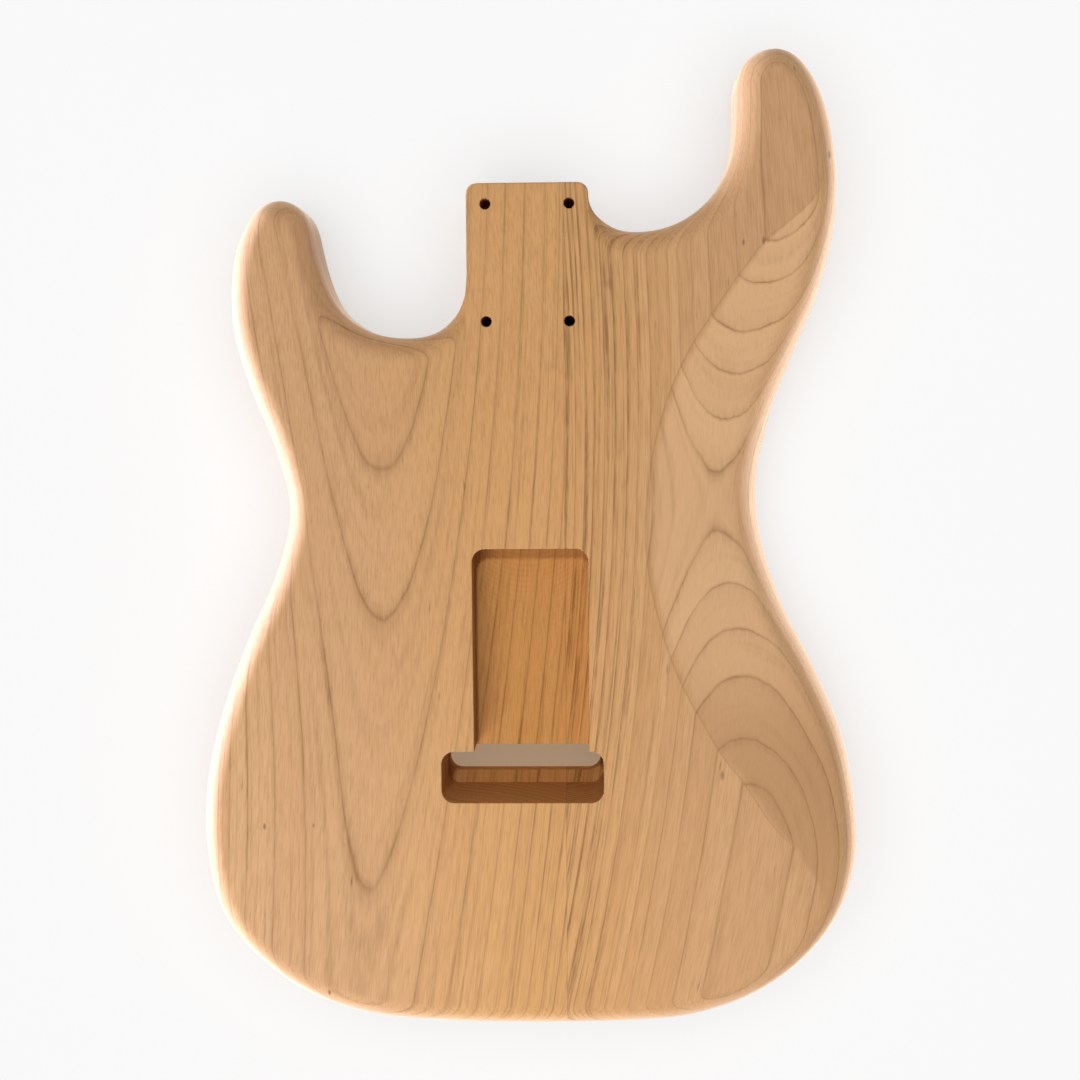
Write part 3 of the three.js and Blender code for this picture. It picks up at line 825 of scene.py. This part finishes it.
bassGrain = {
    "pithX": (127.58, 4.95, -3.86),
    "pithHeight": (119.2, 0, 0),
    "rings": [108, 113, 118, 120.1, 122.5, 126.1, 129.1, 131.8, 133.8, 138.6],
    "then": [3.1, 2.7, 3.4, 2.8, 3.2, 2.6, 3.0],
    "last": 205,
    "profile": [
        (0, 1, 0.6), (0.03, 0.35, 0.2), (0.07, 0, 0.03), (0.5, 0, 0),
        (0.78, 0, 0.3), (0.94, 0, 0.8), (0.975, 0.3, 0.9), (1, 1, 1),
    ],
    "lineStrength": 0.75,
    "bandStrength": (132, 149, 0.25, 1.35),
    "streakStrength": 0.62,
    "seed": 11.0,
    "knots": [
        (101.6, 144.9, 0.8, 0.6), (110.9, 145.7, 1.0, 0.6), (39.6, 126.7, 1.5, 0.25),
        (93.1, -107.3, 1.3, 0.5), (141.4, 184.9, 1.0, 0.6),
    ],
}


# Places stretched along the grain, for patterns of a size across it and a run along it
def stretched(tree, grown, sizes):
    across, run = sizes
    shrink = {0: grown, 1: (1 / across, 1 / run, 1 / across)}
    return addNode(tree, "ShaderNodeVectorMath", shrink, operation="MULTIPLY")


def softNoise(tree, spot, detail):
    return addNode(tree, "ShaderNodeTexNoise", {"Vector": spot, "Scale": 1.0, "Detail": detail})


def paintOver(tree, wood, colour, share, mode="MIX"):
    layers = {0: share, 6: wood, 7: colour}  # the last two inputs are those for colours
    mixed = addNode(tree, "ShaderNodeMix", layers, data_type="RGBA", blend_type=mode)
    return mixed.outputs[2]


# Places in the wood, in mm: from the body's origin and from the pith
def woodPlaces(tree, grain):
    place = addNode(tree, "ShaderNodeTexCoord").outputs["Object"]
    place = {0: place, "Scale": 1 / mm}
    place = addNode(tree, "ShaderNodeVectorMath", place, operation="SCALE")
    x, y, z = addNode(tree, "ShaderNodeSeparateXYZ", {0: place}).outputs
    along = calculate(tree, "DIVIDE", y, 100.0)
    fromPith = []
    for start, lean, bend in (grain["pithX"], grain["pithHeight"]):
        line = calculate(tree, "MULTIPLY_ADD", along, bend, lean)
        fromPith.append(calculate(tree, "MULTIPLY_ADD", line, along, start))
    across = calculate(tree, "SUBTRACT", x, fromPith[0])
    depth = calculate(tree, "SUBTRACT", bodySizes["thickness"], z)
    height = calculate(tree, "ADD", depth, fromPith[1])
    grown = addNode(tree, "ShaderNodeCombineXYZ", {0: across, 1: y, 2: height})
    section = addNode(tree, "ShaderNodeCombineXYZ", {0: across, 2: height})
    radius = addNode(tree, "ShaderNodeVectorMath", {0: section}, operation="LENGTH")
    radius = radius.outputs["Value"]
    # the rings wander slowly, more quickly, and in small steps that show at the arches' tips.
    # Noise stays mostly between 0.25 and 0.75, which is a full sway either way.
    for size, run, sway in alder["waves"]:
        wave = softNoise(tree, stretched(tree, grown, (size, run)), detail=1.0)
        wave = calculate(tree, "MULTIPLY_ADD", wave, 4 * sway, -2 * sway)
        radius = calculate(tree, "ADD", radius, wave)
    return {"place": place, "x": x, "y": y, "across": across, "grown": grown, "radius": radius}


def ringRadii(grain):
    radii, step = list(grain["rings"]), 0
    while radii[-1] < grain["last"]:
        radii.append(radii[-1] + grain["then"][step % len(grain["then"])])
        step += 1
    return radii


# Each ring has a tone and a strength of its own, and ends in a thin line with soft darker bands
# beside it
def ringsAt(tree, radius, grain):
    # count of rings from the pith, as a curve through their radii
    radii = ringRadii(grain)
    last = len(radii) - 1
    counter = rescale(tree, radius, radii[0], radii[-1])
    counter = addNode(tree, "ShaderNodeFloatCurve", {"Value": counter})
    points = counter.mapping.curves[0].points
    for i, r in enumerate(radii):
        spot = ((r - radii[0]) / (radii[-1] - radii[0]), i / last)
        point = points[0] if i == 0 else points[-1] if i == last else points.new(*spot)
        point.location = spot
    for point in points:
        point.handle_type = "VECTOR"
    counter.mapping.update()
    count = calculate(tree, "MULTIPLY", counter, float(last))
    ring = calculate(tree, "ADD", calculate(tree, "FLOOR", count), grain["seed"])
    own = addNode(tree, "ShaderNodeTexWhiteNoise", {"W": ring}, noise_dimensions="1D")
    own = addNode(tree, "ShaderNodeSeparateColor", {0: own.outputs["Color"]}).outputs
    profile = addNode(tree, "ShaderNodeValToRGB", {0: calculate(tree, "FRACT", count)})
    ramp = profile.color_ramp
    for i, (spot, line, band) in enumerate(grain["profile"]):
        stop = ramp.elements[i] if i < 2 else ramp.elements.new(spot)
        stop.position = spot
        stop.color = (line, band, 0, 1)
    profile = addNode(tree, "ShaderNodeSeparateColor", {0: profile}).outputs
    return {"tone": own[0], "strength": own[1], "line": profile[0], "band": profile[1]}


# Soft patches of pale and deep wood, golden towards the middle of the tree
def woodTone(tree, at, ringTone, colours):
    patch = softNoise(tree, stretched(tree, at["grown"], alder["patches"]), detail=2.0)
    deep = calculate(tree, "MULTIPLY_ADD", ringTone, alder["ringDeep"], alder["leastDeep"])
    deep = calculate(tree, "MULTIPLY_ADD", patch, alder["patchDeep"], deep)
    wood = paintOver(tree, colours["pale"], colours["deep"], deep)
    zone = alder["goldenZone"]
    away = calculate(tree, "ABSOLUTE", calculate(tree, "SUBTRACT", at["x"], zone["x"]))
    away = calculate(tree, "MULTIPLY_ADD", patch, zone["sway"], away)
    share = rescale(tree, away, zone["full"], zone["none"], zone["share"], 0.0, soft=True)
    return paintOver(tree, wood, colours["golden"], share)


# The belly contour: paler towards the neck, partly its wood and partly a painted highlight
# where it faces the light, and browner towards the tail, painted shade where it faces away,
# with a faint line along its crease.
# Gives the wood, and the share of fibres and pores that shows.
def bellyTone(tree, wood, y, colours):
    belly = addNode(tree, "ShaderNodeAttribute", attribute_name="belly").outputs["Vector"]
    belly, fromEdge, _ = addNode(tree, "ShaderNodeSeparateXYZ", {0: belly}).outputs
    carved = rescale(tree, belly, 0.0, bellyTones["softness"], soft=True)
    carved = calculate(tree, "MULTIPLY", carved, fromEdge)
    for colour, none, full, share in bellyTones["tones"]:
        reach = rescale(tree, y, none, full, 0.0, share, soft=True)
        reach = calculate(tree, "MULTIPLY", reach, carved)
        wood = paintOver(tree, wood, colours[colour], reach)
    begins, full, fades, ends = bellyTones["crease"]
    crease = rescale(tree, belly, ends, fades, 0.0, bellyTones["creaseShare"])
    atCrease = calculate(tree, "MULTIPLY", rescale(tree, belly, begins, full), fromEdge)
    crease = calculate(tree, "MULTIPLY", crease, atCrease)
    wood = paintOver(tree, wood, colours["ring"], crease)
    return wood, rescale(tree, carved, 0.0, 1.0, 1.0, bellyTones["calm"])


# The bands beside the rings, broken into dashes, and faint streaks drawn along the rings
def ringBands(tree, at, rings, grain, fading, strength):
    band = calculate(tree, "MULTIPLY", rings["band"], strength)
    width, run, turn = alder["streaks"]
    streak = {
        0: calculate(tree, "DIVIDE", at["radius"], width),
        1: calculate(tree, "DIVIDE", at["y"], run),
        2: calculate(tree, "DIVIDE", at["across"], turn),
    }
    streak = softNoise(tree, addNode(tree, "ShaderNodeCombineXYZ", streak), detail=2.0)
    streak = rescale(tree, streak, *alder["streakLevels"], 0.0, grain["streakStrength"])
    band = calculate(tree, "MULTIPLY_ADD", band, fading, streak)
    broken = softNoise(tree, stretched(tree, at["grown"], alder["dashes"]), detail=2.0)
    broken = rescale(tree, broken, *alder["dashRange"])
    band = calculate(tree, "MULTIPLY", band, broken)
    return calculate(tree, "MULTIPLY", band, rescale(tree, at["radius"], *grain["bandStrength"]))


# Pores, as short fine dashes, and broad rays, as a few long ones
def woodSpecks(tree, at, band, calm):
    specks = None
    for kind in ("pore", "ray"):
        reach, strength, leftOut = alder[kind + "Specks"]
        spot = stretched(tree, at["grown"], alder[kind + "s"])
        cell = addNode(tree, "ShaderNodeTexVoronoi", {"Vector": spot, "Scale": 1.0})
        speck = rescale(tree, cell.outputs["Distance"], reach, 0.0, 0.0, strength)
        chosen = addNode(tree, "ShaderNodeSeparateColor", {0: cell.outputs["Color"]})
        chosen = calculate(tree, "GREATER_THAN", chosen, leftOut)
        speck = calculate(tree, "MULTIPLY", speck, chosen)
        specks = calculate(tree, "MAXIMUM", speck, specks) if specks else speck
    crowd = rescale(tree, band, *alder["speckRange"])
    crowd = calculate(tree, "MULTIPLY", crowd, calm)
    return calculate(tree, "MULTIPLY", specks, crowd, use_clamp=True)


# Pin knots, where the real board has them
def addKnots(tree, wood, place, knots, colour):
    for x, y, size, strength in knots:
        knot = {0: place, 1: (x, y, 0)}
        knot = addNode(tree, "ShaderNodeVectorMath", knot, operation="SUBTRACT")
        shape = {0: knot, 1: (1 / size, alder["knotSlimness"] / size, 0)}
        knot = addNode(tree, "ShaderNodeVectorMath", shape, operation="MULTIPLY")
        knot = addNode(tree, "ShaderNodeVectorMath", {0: knot}, operation="LENGTH")
        knot = rescale(tree, knot.outputs["Value"], *alder["knotEdge"], 0.0, strength, soft=True)
        wood = paintOver(tree, wood, colour, knot)
    return wood


# Routed faces get faint bowed marks from the router's passes, and painted shade, as all
# of a cavity is tinted browner and darker
def routerMarksAndShade(tree, wood, at, fading, colours):
    bow = calculate(tree, "POWER", at["x"], 2.0)
    bow = calculate(tree, "MULTIPLY_ADD", bow, -1 / (2 * alder["routerBow"]), at["y"])
    bow = calculate(tree, "MULTIPLY", bow, 2 * math.pi / alder["routerStep"])
    bow = rescale(tree, calculate(tree, "SINE", bow), -1.0, 1.0, 0.0, alder["routerMarks"])
    bow = calculate(tree, "MULTIPLY", bow, fading)
    bow = calculate(tree, "MULTIPLY", bow, rescale(tree, at["y"], *alder["routerRange"]))
    wood = paintOver(tree, wood, colours["ring"], bow)
    return paintOver(tree, wood, colours["routed"], 1.0, "MULTIPLY")


def alderMaterial(name, grain, routed):
    material = bpy.data.materials.new(name)
    material.use_nodes = True
    tree = material.node_tree
    tree.nodes.clear()
    colours = {key: hexToLinear(code) for key, code in alder["colours"].items()}
    at = woodPlaces(tree, grain)
    rings = ringsAt(tree, at["radius"], grain)
    wood = woodTone(tree, at, rings["tone"], colours)
    wood, calm = bellyTone(tree, wood, at["y"], colours)

    # rings, some of them fainter, and all of them fainter in some places
    fading = softNoise(tree, stretched(tree, at["grown"], alder["fading"]), detail=1.0)
    fading = rescale(tree, fading, *alder["fadingRange"])
    least = alder["leastRing"]
    strength = calculate(tree, "MULTIPLY_ADD", rings["strength"], 1 - least, least)
    band = ringBands(tree, at, rings, grain, fading, strength)
    line = calculate(tree, "MULTIPLY", rings["line"], fading)
    line = calculate(tree, "MULTIPLY", line, strength)
    line = calculate(tree, "MULTIPLY_ADD", line, grain["lineStrength"], band)
    line = calculate(tree, "MINIMUM", line, alder["mostRing"])
    wood = paintOver(tree, wood, colours["ring"], line)

    fibre = softNoise(tree, stretched(tree, at["grown"], alder["fibres"]), detail=2.0)
    strand = rescale(tree, fibre, *alder["fibreRange"])
    strand = calculate(tree, "MULTIPLY", strand, calm)
    wood = paintOver(tree, wood, colours["fibre"], strand)
    specks = woodSpecks(tree, at, band, calm)
    wood = paintOver(tree, wood, colours["pore"], specks)
    wood = addKnots(tree, wood, at["place"], grain["knots"], colours["knot"])

    # thin dark joint where the boards are glued
    joint = calculate(tree, "SUBTRACT", at["x"], bodySizes["glueLineX"])
    joint = calculate(tree, "ABSOLUTE", joint)
    joint = rescale(tree, joint, 0.0, alder["jointWidth"], alder["jointShare"], 0.0)
    wood = paintOver(tree, wood, colours["ring"], joint)
    if routed:
        wood = routerMarksAndShade(tree, wood, at, fading, colours)

    # the surface: sanded smooth, fibres just felt
    relief = calculate(tree, "SUBTRACT", fibre, specks)
    bump = {"Height": relief, "Strength": alder["reliefShare"], "Distance": alder["relief"] * mm}
    shader = {
        "Base Color": wood,
        "Roughness": rescale(tree, fibre, *alder["roughness"]),
        "Normal": addNode(tree, "ShaderNodeBump", bump),
        "IOR": 1.5,
        "Specular IOR Level": 0.08 if routed else 0.4,  # a router's cut is too rough to shine
        "Sheen Weight": 0.0 if routed else 0.7,
        "Sheen Roughness": 0.45,
        "Sheen Tint": colours["fuzz"],
    }
    shader = addNode(tree, "ShaderNodeBsdfPrincipled", shader)
    addNode(tree, "ShaderNodeOutputMaterial", {"Surface": shader})
    return material


for board, node, slotName, grain in (
    (trebleBoard, "treble_board", "treble_alder", trebleGrain),
    (bassBoard, "bass_board", "bass_alder", bassGrain),
):
    for index, finish in enumerate(("sanded_", "routed_")):
        material = alderMaterial(finish + slotName, grain, routed=index == 1)
        if index < len(board.data.materials):  # the cuts leave an empty slot
            board.data.materials[index] = material
        else:
            board.data.materials.append(material)
    woodOnly.objects.link(board)
    woodAndCards.objects.link(board)
    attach(board, "root")
    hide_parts(node)
bassOnly.objects.link(bassBoard)
print("boards finished in bare alder")
